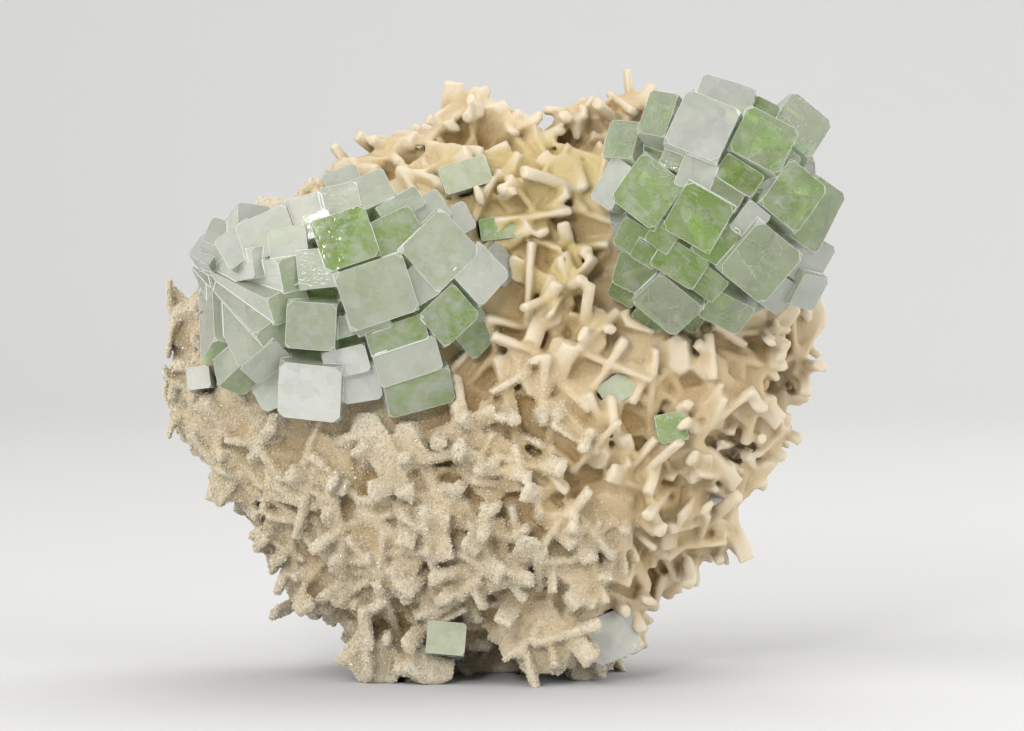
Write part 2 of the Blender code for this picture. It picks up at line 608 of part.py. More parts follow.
def centre_over_origin(parts):
    """Moves every finished piece so that the origin is under the middle of the whole box."""
    pieces = [thing for thing in parts.objects if thing.type == "MESH"]
    corners = [vert.co for piece in pieces for vert in piece.data.vertices]
    middle = Vector(
        (
            (min(c.x for c in corners) + max(c.x for c in corners)) / 2.0,
            (min(c.y for c in corners) + max(c.y for c in corners)) / 2.0,
            0.0,
        )
    )
    for piece in pieces:
        piece.data.transform(Matrix.Translation(-middle))


def build():
    remove_everything()
    parts = new_collection("fluorapophyllite_on_stilbite")
    ball_guides = new_collection("ball guides")
    spray_guides = new_collection("spray guides")
    seat_guides = new_collection("body with clearance")
    blade_guides = new_collection("blade guides")
    room_guides = new_collection("room for the clusters")
    thicket_guides = new_collection("thicket")
    pocket_guides = new_collection("pockets and ground")

    cream = make_material("stilbite_cream", (0.80, 0.66, 0.48), 0.55)
    clear_green = make_material("apophyllite_green", (0.55, 0.74, 0.50), 0.08, 0.9, 1.535)
    milky_green = make_material("apophyllite_milky", (0.72, 0.84, 0.66), 0.16, 0.8, 1.535)

    stilbite_body("body_with_clearance", seat_guides, grow=SEAT_GAP, guide=True)
    ball = ball_layout()
    spray = spray_layout()
    grown_cluster("apophyllite_ball", ball, ball_guides, seat_guides, parts, clear_green)
    grown_cluster("apophyllite_spray", spray, spray_guides, seat_guides, parts, milky_green)
    singles = [
        (name, Vector(face), Vector(outward), math.radians(spin), width, height, length)
        for name, face, outward, spin, width, height, length in SINGLE_CRYSTALS
    ]
    for row in singles:
        crystal_block(*row, parts, guide=False).data.materials.append(milky_green)
        crystal_block("pocket_" + row[0], *row[1:], pocket_guides, grow=SEAT_GAP)
    for row in ball + spray:
        crystal_block("room_" + row[0], *row[1:], room_guides, grow=SEAT_GAP)

    front_blades(blade_guides)
    rim_tablets(blade_guides)
    back_blades(blade_guides)
    thicket = foot_lump(thicket_guides)
    fused(thicket, blade_guides)
    thicket = plain(thicket)
    fused(thicket, room_guides, union=False)
    thicket = plain(thicket)
    ground_cut(pocket_guides)
    body = stilbite_body("stilbite_matrix", parts)
    fused(body, thicket_guides)
    body = plain(body)
    fused(body, pocket_guides, union=False)
    finished(body, "stilbite_matrix", parts, cream)
    centre_over_origin(parts)


build()
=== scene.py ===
import math

import bmesh
import bpy
import numpy as np
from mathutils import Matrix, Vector, noise


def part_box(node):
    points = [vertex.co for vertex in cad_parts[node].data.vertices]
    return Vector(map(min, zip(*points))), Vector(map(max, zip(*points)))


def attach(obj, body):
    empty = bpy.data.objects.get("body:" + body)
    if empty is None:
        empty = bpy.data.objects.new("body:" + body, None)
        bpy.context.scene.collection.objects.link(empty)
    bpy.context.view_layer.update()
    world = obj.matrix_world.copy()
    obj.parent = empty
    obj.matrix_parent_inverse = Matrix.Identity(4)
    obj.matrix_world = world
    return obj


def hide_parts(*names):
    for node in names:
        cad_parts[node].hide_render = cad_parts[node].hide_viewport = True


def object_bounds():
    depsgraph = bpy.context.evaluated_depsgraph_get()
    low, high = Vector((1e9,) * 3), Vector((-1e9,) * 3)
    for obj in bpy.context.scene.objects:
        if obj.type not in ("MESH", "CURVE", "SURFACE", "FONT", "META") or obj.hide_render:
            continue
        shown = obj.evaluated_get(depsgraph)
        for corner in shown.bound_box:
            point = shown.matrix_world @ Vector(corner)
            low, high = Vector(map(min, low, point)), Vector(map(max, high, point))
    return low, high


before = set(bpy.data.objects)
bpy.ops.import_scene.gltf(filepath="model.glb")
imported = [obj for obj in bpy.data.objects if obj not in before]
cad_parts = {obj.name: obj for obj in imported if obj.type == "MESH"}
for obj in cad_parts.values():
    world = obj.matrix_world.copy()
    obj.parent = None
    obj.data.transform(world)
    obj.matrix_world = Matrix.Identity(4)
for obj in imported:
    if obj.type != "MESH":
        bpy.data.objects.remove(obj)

cad_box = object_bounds()

# The stilbite mass
# The real piece is one intergrown mass of bladed stilbite, cream to ochre and waxy on its blades.
# It grew first, and everything else grew on it. Its colour is painted paler on the blade tips and
# raised parts, as painted light, and darker in its hollows, as painted shade.
VOXEL = 0.00040
MASS_TRIANGLES = 190000.0
SMALL_BLADES_PER_M2 = 60000.0
SMALL_BLADE_SEED = 4
SMALL_BLADE_LENGTH = 0.0100
# Thickness, width and length, as shares of the blade length above
SMALLEST_BLADE = (0.14, 0.20, 0.60)
LARGEST_BLADE = (0.22, 0.42, 1.45)
# Each blade's turn away from the surface's own upright, in radians
LEAST_LEAN = (1.24, 0.0, -0.6)
MOST_LEAN = (1.54, 0.0, 0.6)
BUNDLES_PER_METRE = 55.0
BUNDLE_TURN = 19.0
BLADES_ABOVE = 0.0045
CLEAR_OF_CLUSTERS = 0.0038
REST_HEIGHT = 0.0
SQUEEZE_DEPTH = 0.0018
SQUEEZE = 0.35


def link(thing):
    bpy.context.scene.collection.objects.link(thing)
    return thing


def merged_copy(node, name):
    """A CAD node's own shape with its loose triangles merged, as a new object to work on."""
    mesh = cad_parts[node].data.copy()
    mesh.name = name
    mesh.materials.clear()
    bm = bmesh.new()
    bm.from_mesh(mesh)
    bmesh.ops.remove_doubles(bm, verts=bm.verts, dist=1e-6)
    bm.to_mesh(mesh)
    bm.free()
    return link(bpy.data.objects.new(name, mesh))


def worked_in(thing):
    """The object with its modifiers worked into its mesh."""
    graph = bpy.context.evaluated_depsgraph_get()
    mesh = bpy.data.meshes.new_from_object(thing.evaluated_get(graph))
    mesh.name = thing.name
    thing.modifiers.clear()
    old = thing.data
    thing.data = mesh
    bpy.data.meshes.remove(old)
    return thing


def new_tree(name, inputs):
    """A Geometry Nodes tree with one geometry in and out, and named inputs: (name, type, value)."""
    tree = bpy.data.node_groups.new(name, "GeometryNodeTree")
    tree.interface.new_socket("Geometry", in_out="INPUT", socket_type="NodeSocketGeometry")
    for socket_name, kind, value in inputs:
        socket = tree.interface.new_socket(socket_name, in_out="INPUT", socket_type=kind)
        if value is not None:
            socket.default_value = value
    tree.interface.new_socket("Geometry", in_out="OUTPUT", socket_type="NodeSocketGeometry")
    return tree


def node_in(tree, kind, settings=None, **values):
    """A new node, with its settings and the values of its named input sockets."""
    node = tree.nodes.new(kind)
    for setting, value in (settings or {}).items():
        setattr(node, setting, value)
    for socket_name, value in values.items():
        socket = node.inputs[socket_name.replace("_", " ")]
        if isinstance(value, bpy.types.NodeSocket):
            tree.links.new(value, socket)
        else:
            socket.default_value = value
    return node


def run_tree(thing, tree, values):
    """Adds the tree to the object, sets its named inputs and works it into the mesh."""
    modifier = thing.modifiers.new(tree.name, "NODES")
    modifier.node_group = tree
    for item in tree.interface.items_tree:
        if item.item_type == "SOCKET" and item.in_out == "INPUT" and item.name in values:
            modifier[item.identifier] = values[item.name]
    return worked_in(thing)


def compared(tree, value, operation, limit):
    """Whether a value lies on the asked side of a limit."""
    return node_in(tree, "FunctionNodeCompare", {"operation": operation}, A=value, B=limit).outputs["Result"]


def both_hold(tree, first, second):
    node = node_in(tree, "FunctionNodeBooleanMath", {"operation": "AND"})
    tree.links.new(first, node.inputs[0])
    tree.links.new(second, node.inputs[1])
    return node.outputs[0]


def multiplied(tree, first, second):
    """A socket times another one or a number."""
    node = node_in(tree, "ShaderNodeMath", {"operation": "MULTIPLY"})
    tree.links.new(first, node.inputs[0])
    if isinstance(second, bpy.types.NodeSocket):
        tree.links.new(second, node.inputs[1])
    else:
        node.inputs[1].default_value = second
    return node.outputs[0]


def scaled_vector(tree, vector, factor):
    node = node_in(tree, "ShaderNodeVectorMath", {"operation": "SCALE"}, Vector=vector, Scale=factor)
    return node.outputs[0]


def random_vector(tree, low, high, seed):
    node = node_in(
        tree, "FunctionNodeRandomValue", {"data_type": "FLOAT_VECTOR"}, Min=low, Max=high, Seed=seed
    )
    return node.outputs["Value"]


def turned_by(tree, first, second):
    """A rotation followed by a second one in its own frame."""
    node = node_in(
        tree, "FunctionNodeRotateRotation", {"rotation_space": "LOCAL"}, Rotation=first, Rotate_By=second
    )
    return node.outputs[0]


def place_in(tree):
    """Each point's place, split into its X, Y and Z."""
    place = node_in(tree, "GeometryNodeInputPosition")
    return node_in(tree, "ShaderNodeSeparateXYZ", Vector=place.outputs[0]).outputs


def blade_tree():
    """Grows small six-sided blades over a surface, away from the crystal clusters and above a set height."""
    tree = new_tree(
        "small blades",
        [
            ("Per square metre", "NodeSocketFloat", 1000.0),
            ("Seed", "NodeSocketInt", 0),
            ("Length", "NodeSocketFloat", 0.008),
            ("Clusters", "NodeSocketObject", None),
            ("Clearance", "NodeSocketFloat", 0.003),
            ("Material", "NodeSocketMaterial", None),
        ],
    )
    given = tree.nodes.new("NodeGroupInput").outputs
    result = tree.nodes.new("NodeGroupOutput").inputs[0]
    clusters = node_in(
        tree, "GeometryNodeObjectInfo", {"transform_space": "RELATIVE"}, Object=given["Clusters"]
    )
    near = node_in(tree, "GeometryNodeProximity", {"target_element": "FACES"})
    tree.links.new(clusters.outputs["Geometry"], near.inputs[0])
    clear = compared(tree, near.outputs["Distance"], "GREATER_THAN", given["Clearance"])
    above = compared(tree, place_in(tree)["Z"], "GREATER_THAN", BLADES_ABOVE)
    points = node_in(
        tree, "GeometryNodeDistributePointsOnFaces", {"distribute_method": "RANDOM"},
        Mesh=given["Geometry"], Density=given["Per square metre"], Seed=given["Seed"],
        Selection=both_hold(tree, clear, above),
    )
    blade = node_in(tree, "GeometryNodeMeshCylinder", Vertices=6, Radius=0.5, Depth=1.0)
    bundle = node_in(tree, "ShaderNodeTexNoise", Scale=BUNDLES_PER_METRE, Detail=1.0)
    heading = multiplied(tree, bundle.outputs["Fac"], BUNDLE_TURN)
    lean = random_vector(tree, LEAST_LEAN, MOST_LEAN, given["Seed"])
    turn_up = node_in(tree, "FunctionNodeEulerToRotation", Euler=lean)
    spin = node_in(tree, "FunctionNodeAxisAngleToRotation", Axis=(0.0, 0.0, 1.0), Angle=heading)
    headed = turned_by(tree, points.outputs["Rotation"], spin.outputs[0])
    sizes = random_vector(tree, SMALLEST_BLADE, LARGEST_BLADE, 23)
    placed = node_in(
        tree, "GeometryNodeInstanceOnPoints", Points=points.outputs["Points"],
        Instance=blade.outputs["Mesh"], Rotation=turned_by(tree, headed, turn_up.outputs[0]),
        Scale=scaled_vector(tree, sizes, given["Length"]),
    )
    real = node_in(tree, "GeometryNodeRealizeInstances", Geometry=placed.outputs[0])
    joined = tree.nodes.new("GeometryNodeJoinGeometry")
    tree.links.new(real.outputs[0], joined.inputs[0])
    tree.links.new(given["Geometry"], joined.inputs[0])
    finish = node_in(
        tree, "GeometryNodeSetMaterial", Geometry=joined.outputs[0], Material=given["Material"]
    )
    tree.links.new(finish.outputs[0], result)
    return tree


def vertex_table(mesh):
    """The mesh's points, point normals and edges as arrays."""
    points = np.zeros(len(mesh.vertices) * 3)
    mesh.vertices.foreach_get("co", points)
    normals = np.zeros(len(mesh.vertices) * 3)
    mesh.vertices.foreach_get("normal", normals)
    edges = np.zeros(len(mesh.edges) * 2, dtype=np.int64)
    mesh.edges.foreach_get("vertices", edges)
    return points.reshape(-1, 3), normals.reshape(-1, 3), edges.reshape(-1, 2)


def evened(values, edges, rounds):
    """Values per point, each round replaced by the mean of the point's neighbours and itself."""
    ends = np.concatenate([edges[:, 0], edges[:, 1]])
    others = np.concatenate([edges[:, 1], edges[:, 0]])
    count = np.bincount(ends, minlength=len(values)) + 1.0
    for _ in range(rounds):
        columns = [
            np.bincount(ends, weights=column[others], minlength=len(values)) for column in values.T
        ]
        total = np.stack(columns, axis=1)
        values = (total + values) / count[:, None]
    return values


def keep_relief(mesh):
    """Stores how far each point stands out of or lies below its smoothed surroundings."""
    points, normals, edges = vertex_table(mesh)
    for name, rounds, full in (("tips", 14, 0.0005), ("hollows", 160, 0.0028)):
        relief = ((points - evened(points, edges, rounds)) * normals).sum(axis=1) / full
        layer = mesh.attributes.new(name, "FLOAT", "POINT")
        layer.data.foreach_set("value", evened(relief[:, None], edges, 2)[:, 0].astype(np.float32))


def honey_share(point):
    """How honey-yellow the surface is: most of all in the shade between the two clusters."""
    away = math.hypot((point.x - 0.004) / 0.020, (point.z - 0.077) / 0.022, (point.y + 0.010) / 0.018)
    return max(0.0, min(1.0, 1.35 - away + noise.noise(point * 70.0) * 0.5))


def sugary_share(point):
    """How sugary the surface is: the lower left of the front is coated, the right side is bare."""
    lean = (-(point.x) * 0.75 - (point.z - 0.046) * 0.55) / 0.022 + 0.25
    patch = noise.noise(point * 60.0) * 0.9
    return max(0.0, min(1.0, lean + patch))


def uneven_surface(mesh):
    """Fine natural unevenness: soft dents everywhere, and a rough skin where it is sugary."""
    points, normals, _ = vertex_table(mesh)
    shares = np.zeros(len(points))
    yellows = np.zeros(len(points))
    moves = np.zeros(len(points))
    for index, row in enumerate(points.tolist()):
        point = Vector(row)
        shares[index] = sugary_share(point)
        yellows[index] = honey_share(point)
        soft = noise.noise(point * 420.0) * 0.00022 + noise.noise(point * 1300.0) * 0.00006
        moves[index] = soft + noise.noise(point * 2100.0) * 0.00020 * shares[index]
    points += normals * moves[:, None]
    for axis in (0, 1):
        low = cad_box[0][axis] + SQUEEZE_DEPTH
        high = cad_box[1][axis] - SQUEEZE_DEPTH
        held = np.clip(points[:, axis], low, high)
        points[:, axis] = held + (points[:, axis] - held) * SQUEEZE
    points[:, 2] = np.maximum(points[:, 2], REST_HEIGHT)
    mesh.vertices.foreach_set("co", points.ravel())
    for name, values in (("sugary", shares), ("honey", yellows)):
        layer = mesh.attributes.new(name, "FLOAT", "POINT")
        layer.data.foreach_set("value", values.astype(np.float32))
    mesh.update()


clusters = merged_copy("apophyllite_ball", "clusters guide")
both = bmesh.new()
both.from_mesh(clusters.data)
both.from_mesh(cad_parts["apophyllite_spray"].data)
both.to_mesh(clusters.data)
both.free()

stilbite_skin = bpy.data.materials.new("stilbite_cream")
stilbite = merged_copy("stilbite_matrix", "stilbite_mass")
run_tree(
    stilbite,
    blade_tree(),
    {
        "Per square metre": SMALL_BLADES_PER_M2,
        "Seed": SMALL_BLADE_SEED,
        "Length": SMALL_BLADE_LENGTH,
        "Clusters": clusters,
        "Clearance": CLEAR_OF_CLUSTERS,
        "Material": stilbite_skin,
    },
)
even_out = stilbite.modifiers.new("grown together", "REMESH")
even_out.mode = "VOXEL"
even_out.voxel_size = VOXEL
soften = stilbite.modifiers.new("waxy edges", "SMOOTH")
soften.factor = 0.5
soften.iterations = 2
worked_in(stilbite)
made = sum(len(face.vertices) - 2 for face in stilbite.data.polygons)
thin_out = stilbite.modifiers.new("fewer faces", "DECIMATE")
thin_out.ratio = min(1.0, MASS_TRIANGLES / made)
worked_in(stilbite)
uneven_surface(stilbite.data)
keep_relief(stilbite.data)
stilbite.data.shade_smooth()


def shader_of(material):
    material.use_nodes = True
    return material.node_tree, material.node_tree.nodes["Principled BSDF"]


def mixed(tree, share, low, high):
    """A colour between two others, by a socket's share."""
    mix = tree.nodes.new("ShaderNodeMix")
    mix.data_type = "RGBA"
    for socket, value in ((mix.inputs[6], low), (mix.inputs[7], high)):
        if isinstance(value, bpy.types.NodeSocket):
            tree.links.new(value, socket)
        else:
            socket.default_value = (*value, 1.0)
    tree.links.new(share, mix.inputs[0])
    return mix.outputs[2]


def spread(tree, value, low, high, to_low=0.0, to_high=1.0):
    """A value spread from one range onto another, smoothly and held at its ends."""
    node = tree.nodes.new("ShaderNodeMapRange")
    node.interpolation_type = "SMOOTHSTEP"
    tree.links.new(value, node.inputs["Value"])
    node.inputs["From Min"].default_value = low
    node.inputs["From Max"].default_value = high
    node.inputs["To Min"].default_value = to_low
    node.inputs["To Max"].default_value = to_high
    return node.outputs[0]


def attribute(tree, name):
    node = tree.nodes.new("ShaderNodeAttribute")
    node.attribute_name = name
    return node.outputs["Fac"]


def noise_in(tree, scale, detail=3.0, roughness=0.55):
    place = tree.nodes.new("ShaderNodeTexCoord")
    texture = tree.nodes.new("ShaderNodeTexNoise")
    tree.links.new(place.outputs["Object"], texture.inputs["Vector"])
    texture.inputs["Scale"].default_value = scale
    texture.inputs["Detail"].default_value = detail
    texture.inputs["Roughness"].default_value = roughness
    return texture.outputs["Fac"]


def bumped(tree, height, distance, strength=1.0, normal=None):
    bump = tree.nodes.new("ShaderNodeBump")
    bump.inputs["Strength"].default_value = strength
    bump.inputs["Distance"].default_value = distance
    tree.links.new(height, bump.inputs["Height"])
    if normal:
        tree.links.new(normal, bump.inputs["Normal"])
    return bump.outputs[0]


def cells_in(tree, scale):
    """Small flat cells, as the distance from each cell's middle."""
    place = tree.nodes.new("ShaderNodeTexCoord")
    texture = tree.nodes.new("ShaderNodeTexVoronoi")
    tree.links.new(place.outputs["Object"], texture.inputs["Vector"])
    texture.inputs["Scale"].default_value = scale
    return texture.outputs["Distance"]


tree, shader = shader_of(stilbite_skin)
broad = noise_in(tree, 45.0)
warm = mixed(tree, spread(tree, broad, 0.35, 0.65), (0.66, 0.505, 0.285), (0.73, 0.58, 0.36))
honeyed = mixed(tree, spread(tree, attribute(tree, "honey"), 0.1, 0.9), warm, (0.66, 0.52, 0.235))
# Painted shade: the surface darkens to a deep ochre-brown in its hollows, where shade falls.
hollow_painted_shade = mixed(tree, spread(tree, attribute(tree, "hollows"), -0.85, 0.2), (0.40, 0.25, 0.085), honeyed)
# Painted light: blade tips and raised parts are painted paler, as if more light falls on them.
tip_painted_light = mixed(tree, spread(tree, attribute(tree, "tips"), 0.0, 1.4), hollow_painted_shade, (0.79, 0.68, 0.50))
raised_painted_light_share = spread(tree, attribute(tree, "hollows"), 0.3, 1.6, 0.0, 0.6)
raised_painted_light = mixed(tree, raised_painted_light_share, tip_painted_light, (0.80, 0.70, 0.52))
coated = spread(tree, attribute(tree, "sugary"), 0.2, 1.0, 0.0, 0.15)
sugared = mixed(tree, coated, raised_painted_light, (0.80, 0.66, 0.44))
edge_of_grain = cells_in(tree, 2300.0)
speckled = mixed(tree, spread(tree, edge_of_grain, 0.15, 0.75, 0.12, 0.0), sugared, (0.90, 0.82, 0.66))
tree.links.new(speckled, shader.inputs["Base Color"])
silk = noise_in(tree, 900.0, 3.0)
skin = bumped(tree, silk, 0.00008, 0.6)
coarse = multiplied(tree, edge_of_grain, spread(tree, attribute(tree, "sugary"), 0.1, 0.9, -0.1, -1.0))
tree.links.new(bumped(tree, coarse, 0.00016, 0.8, skin), shader.inputs["Normal"])
tree.links.new(spread(tree, silk, 0.35, 0.7, 0.55, 0.32), shader.inputs["Roughness"])
shader.inputs["Subsurface Weight"].default_value = 0.22
shader.inputs["Subsurface Radius"].default_value = (1.0, 0.72, 0.42)
shader.inputs["Subsurface Scale"].default_value = 0.0012
shader.inputs["IOR"].default_value = 1.5
stilbite.data.materials.clear()
stilbite.data.materials.append(stilbite_skin)
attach(stilbite, "root")
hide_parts("stilbite_matrix")

# The sugary coat
# Tiny clear to white drusy crystals, a few tenths of a millimetre across. They grew last, all over
# the blades, and are thickest on the lower left of the stilbite.
GRAINS_PER_M2 = 1.1e7
GRAIN_SIZE = 0.00040
GRAIN_BANDS = ((-1.0, -0.038), (-0.038, -0.025), (-0.025, -0.007), (-0.007, 1.0))
GRAINS_ABOVE = 0.0006
GRAIN_SPREAD = (0.45, 1.35)
BARE_IN_HOLLOWS = {"From_Min": -0.7, "From_Max": 0.5, "To_Min": 0.08, "To_Max": 1.4}
FEWER_BEHIND = {"From_Min": -0.004, "From_Max": 0.016, "To_Min": 1.0, "To_Max": 0.4}


def stored(tree, name, kind):
    """A value that the mesh holds under this name."""
    node = node_in(tree, "GeometryNodeInputNamedAttribute", {"data_type": kind}, Name=name)
    return node.outputs["Attribute"]


def finish_tree(tree, geometry, material):
    """Ends a tree: what it made is made real and given its material."""
    real = node_in(tree, "GeometryNodeRealizeInstances", Geometry=geometry)
    finish = node_in(tree, "GeometryNodeSetMaterial", Geometry=real.outputs[0], Material=material)
    tree.links.new(finish.outputs[0], tree.nodes.new("NodeGroupOutput").inputs[0])


def grain_tree():
    """Strews small four-sided grains over the sugary part of a surface, and keeps only the grains."""
    tree = new_tree(
        "sugar grains",
        [
            ("Per square metre", "NodeSocketFloat", 1.0e6),
            ("Seed", "NodeSocketInt", 0),
            ("Grain", "NodeSocketFloat", 0.0003),
            ("From X", "NodeSocketFloat", -1.0),
            ("To X", "NodeSocketFloat", 1.0),
            ("Material", "NodeSocketMaterial", None),
        ],
    )
    given = tree.nodes.new("NodeGroupInput").outputs
    place = place_in(tree)
    after = compared(tree, place["X"], "GREATER_EQUAL", given["From X"])
    before = compared(tree, place["X"], "LESS_THAN", given["To X"])
    above = compared(tree, place["Z"], "GREATER_THAN", GRAINS_ABOVE)
    share = stored(tree, "sugary", "FLOAT")
    bared = node_in(tree, "ShaderNodeMapRange", Value=stored(tree, "hollows", "FLOAT"), **BARE_IN_HOLLOWS)
    behind = node_in(tree, "ShaderNodeMapRange", Value=place["Y"], **FEWER_BEHIND)
    coated = multiplied(tree, multiplied(tree, share, bared.outputs[0]), behind.outputs[0])
    points = node_in(
        tree, "GeometryNodeDistributePointsOnFaces", {"distribute_method": "RANDOM"},
        Mesh=given["Geometry"], Density=multiplied(tree, coated, given["Per square metre"]),
        Seed=given["Seed"], Selection=both_hold(tree, both_hold(tree, after, before), above),
    )
    grain = node_in(
        tree, "GeometryNodeMeshCone", Vertices=3, Radius_Top=0.0, Radius_Bottom=0.5, Depth=0.75
    )
    turn = random_vector(tree, (0.0, 0.0, 0.0), (math.tau, math.tau, math.tau), 5)
    sizes = node_in(tree, "FunctionNodeRandomValue", {"data_type": "FLOAT"}, Seed=6)
    sizes.inputs[2].default_value, sizes.inputs[3].default_value = GRAIN_SPREAD
    placed = node_in(
        tree, "GeometryNodeInstanceOnPoints", Points=points.outputs["Points"],
        Instance=grain.outputs["Mesh"], Rotation=turn,
        Scale=multiplied(tree, sizes.outputs[1], given["Grain"]),
    )
    finish_tree(tree, placed.outputs[0], given["Material"])
    return tree


sugar = bpy.data.materials.new("drusy_sugar")
tree, shader = shader_of(sugar)
glint = spread(tree, noise_in(tree, 1800.0, 1.0), 0.35, 0.65)
tree.links.new(mixed(tree, glint, (0.84, 0.695, 0.47), (0.95, 0.87, 0.70)), shader.inputs["Base Color"])
tree.links.new(spread(tree, noise_in(tree, 2500.0, 1.0), 0.3, 0.7, 0.08, 0.35), shader.inputs["Roughness"])
shader.inputs["IOR"].default_value = 1.54
shader.inputs["Subsurface Weight"].default_value = 0.2
shader.inputs["Subsurface Radius"].default_value = (1.0, 0.7, 0.45)
shader.inputs["Subsurface Scale"].default_value = 0.0004
coat_tree = grain_tree()
for number, (start, end) in enumerate(GRAIN_BANDS):
    coat = link(bpy.data.objects.new(f"sugar_coat_{number}", stilbite.data.copy()))
    run_tree(
        coat,
        coat_tree,
        {
            "Per square metre": GRAINS_PER_M2,
            "Seed": number,
            "Grain": GRAIN_SIZE,
            "From X": start,
            "To X": end,
            "Material": sugar,
        },
    )
    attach(coat, "root")

# The apophyllite ball
# The right-hand cluster: clear to leaf-green square prisms with flat ends and cut corners, grown
# together in steps round a centre. Their rims are clear and their middles green.
# Its green spots, in millimetres right of and above its middle: x, z, radius, strength
BALL_SPOTS = (
    (-15.6, 10.9, 4.0, 0.55), (-9.8, 15.1, 3.6, 0.45), (-10.5, 2.3, 5.4, 0.95),
    (-3.3, -1.7, 5.4, 1.0), (0.6, -5.6, 3.6, 1.0), (7.2, 10.2, 5.2, 0.8),
    (3.6, 5.2, 3.4, 0.9), (11.9, 2.3, 4.8, 0.85), (7.9, 15.3, 2.8, 0.7),
    (-14.2, -5.3, 3.6, 0.8), (-9.5, -5.0, 3.2, 0.95), (-12.0, -7.9, 3.4, 0.9),
    (-6.6, -9.7, 4.6, 0.95), (-1.5, -12.9, 3.0, 0.8), (-16.0, -15.4, 3.2, 0.8),
    (-10.5, -19.8, 3.2, 0.7), (-5.1, -21.0, 2.6, 0.7), (6.4, -8.9, 5.0, 0.4),
    (-8.4, -16.0, 4.0, 0.4), (1.6, -17.4, 4.0, 0.55),
)
SEAM_RADIUS = 0.00015
HIGHLIGHT_LINE_RADIUS = 0.000032
# The angle between two faces, in radians, below which their edge is a seam and above which a corner with a
# painted highlight line
SEAM_BELOW = -0.25
HIGHLIGHT_LINE_ABOVE = 0.35
# A face turned further than this from the heart of its cluster is a block's side
SIDE_TURN = 0.62
SIDE_GREEN = 0.45
CLEAR_BELOW = 0.22
# Sides turned this way, down, to the left and to the front, get a whiter copy of their material: a painted
# highlight, as if lit from the lower left.
PAINTED_LIGHT_TURN = Vector((-0.55, -0.40, -0.73))
PAINTED_LIGHT_ABOVE = 0.50
VEILS_PER_FACE = 14
VEIL_THICKNESS = 0.00003
# Painted reflections seen inside a crystal: cells per metre, how dark and how light
PAINTED_REFLECTION_LAYERS = ((330.0, 0.26, 0.16), (900.0, 0.14, 0.34))
FACET_BEND = 0.0022
# How far a veil lies from its face's middle and how large it is, as shares of the face's width
VEIL_PLACES = ((-0.26, -0.26, -0.45), (0.26, 0.26, -0.06))
VEIL_SIZES = ((0.04, 0.012, 0.0), (0.42, 0.075, 0.0))
VEIL_TILTS = ((-0.9, -0.9, 0.0), (0.9, 0.9, math.tau))


def seam_and_highlight_tree():
    """Fine white lines along a crystal's edges: thicker in the seams between blocks, partly the joints' own
    frosted white and partly painted highlight, and thinner on corners, where they are painted highlights.
    """
    tree = new_tree(
        "crystal seams",
        [
            ("Seam", "NodeSocketFloat", 0.0001),
            ("Edge", "NodeSocketFloat", 0.00004),
            ("Material", "NodeSocketMaterial", None),
        ],
    )
    given = tree.nodes.new("NodeGroupInput").outputs
    joined = tree.nodes.new("GeometryNodeJoinGeometry")
    angle = tree.nodes.new("GeometryNodeInputMeshEdgeAngle").outputs["Signed Angle"]
    for operation, limit, width in (("LESS_THAN", SEAM_BELOW, "Seam"), ("GREATER_THAN", HIGHLIGHT_LINE_ABOVE, "Edge")):
        lines = node_in(
            tree, "GeometryNodeMeshToCurve", Mesh=given["Geometry"],
            Selection=compared(tree, angle, operation, limit),
        )
        ring = node_in(tree, "GeometryNodeCurvePrimitiveCircle", Resolution=4, Radius=1.0)
        sized = node_in(tree, "GeometryNodeSetCurveRadius", Curve=lines.outputs[0], Radius=given[width])
        tube = node_in(
            tree, "GeometryNodeCurveToMesh", Curve=sized.outputs[0], Profile_Curve=ring.outputs["Curve"],
            Scale=given[width], Fill_Caps=True,
        )
        tree.links.new(tube.outputs[0], joined.inputs[0])
    finish_tree(tree, joined.outputs[0], given["Material"])
    return tree


def middle_of(node):
    low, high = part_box(node)
    return (low + high) / 2.0


def greenness(place, spots):
    """How green the crystal is at a place: the strongest of the spots that reach it."""
    strongest = 0.0
    for x, z, radius, strength in spots:
        gap = math.hypot(place.x * 1000.0 - x, place.z * 1000.0 - z) / radius
        strongest = max(strongest, strength * min(1.0, max(0.0, (1.35 - gap) / 0.65)))
    return strongest


def flat_facets(node, name, centre, spots, materials):
    """A crystal's faces, each flat, whole and of one tone, with its green ends in the first
    material, its sides in the second, its clear ends in the third, and the sides turned down and
    to the left in the fourth: a whiter copy of the side material that lets less light through, a
    painted highlight standing in for light from the lower left."""
    crystal = merged_copy(node, name)
    middle = middle_of(node)
    bm = bmesh.new()
    bm.from_mesh(crystal.data)
    bmesh.ops.dissolve_limit(
        bm, angle_limit=math.radians(0.6), verts=bm.verts, edges=bm.edges, delimit=set()
    )
    green = bm.faces.layers.float.new("green")
    end = bm.faces.layers.float.new("end")
    width = bm.faces.layers.float.new("width")
    out = bm.faces.layers.float_vector.new("out")
    for face in bm.faces:
        place = face.calc_center_median()
        is_side = abs(face.normal.dot((place - centre).normalized())) < SIDE_TURN
        tone = greenness(place - middle, spots) if place.y < middle.y else 0.0
        face[green] = tone * (SIDE_GREEN if is_side else 1.0)
        face[end] = 0.0 if is_side else 1.0
        face[width] = math.sqrt(face.calc_area())
        face[out] = face.normal
        if is_side:
            # Painted highlight: sides facing the lower left get the whiter fourth material.
            face.material_index = 3 if face.normal.dot(PAINTED_LIGHT_TURN) > PAINTED_LIGHT_ABOVE else 1
        else:
            face.material_index = 0 if tone > CLEAR_BELOW else 2
    bm.to_mesh(crystal.data)
    bm.free()
    for material in materials:
        crystal.data.materials.append(material)
    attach(crystal, "root")
    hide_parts(node)
    return crystal


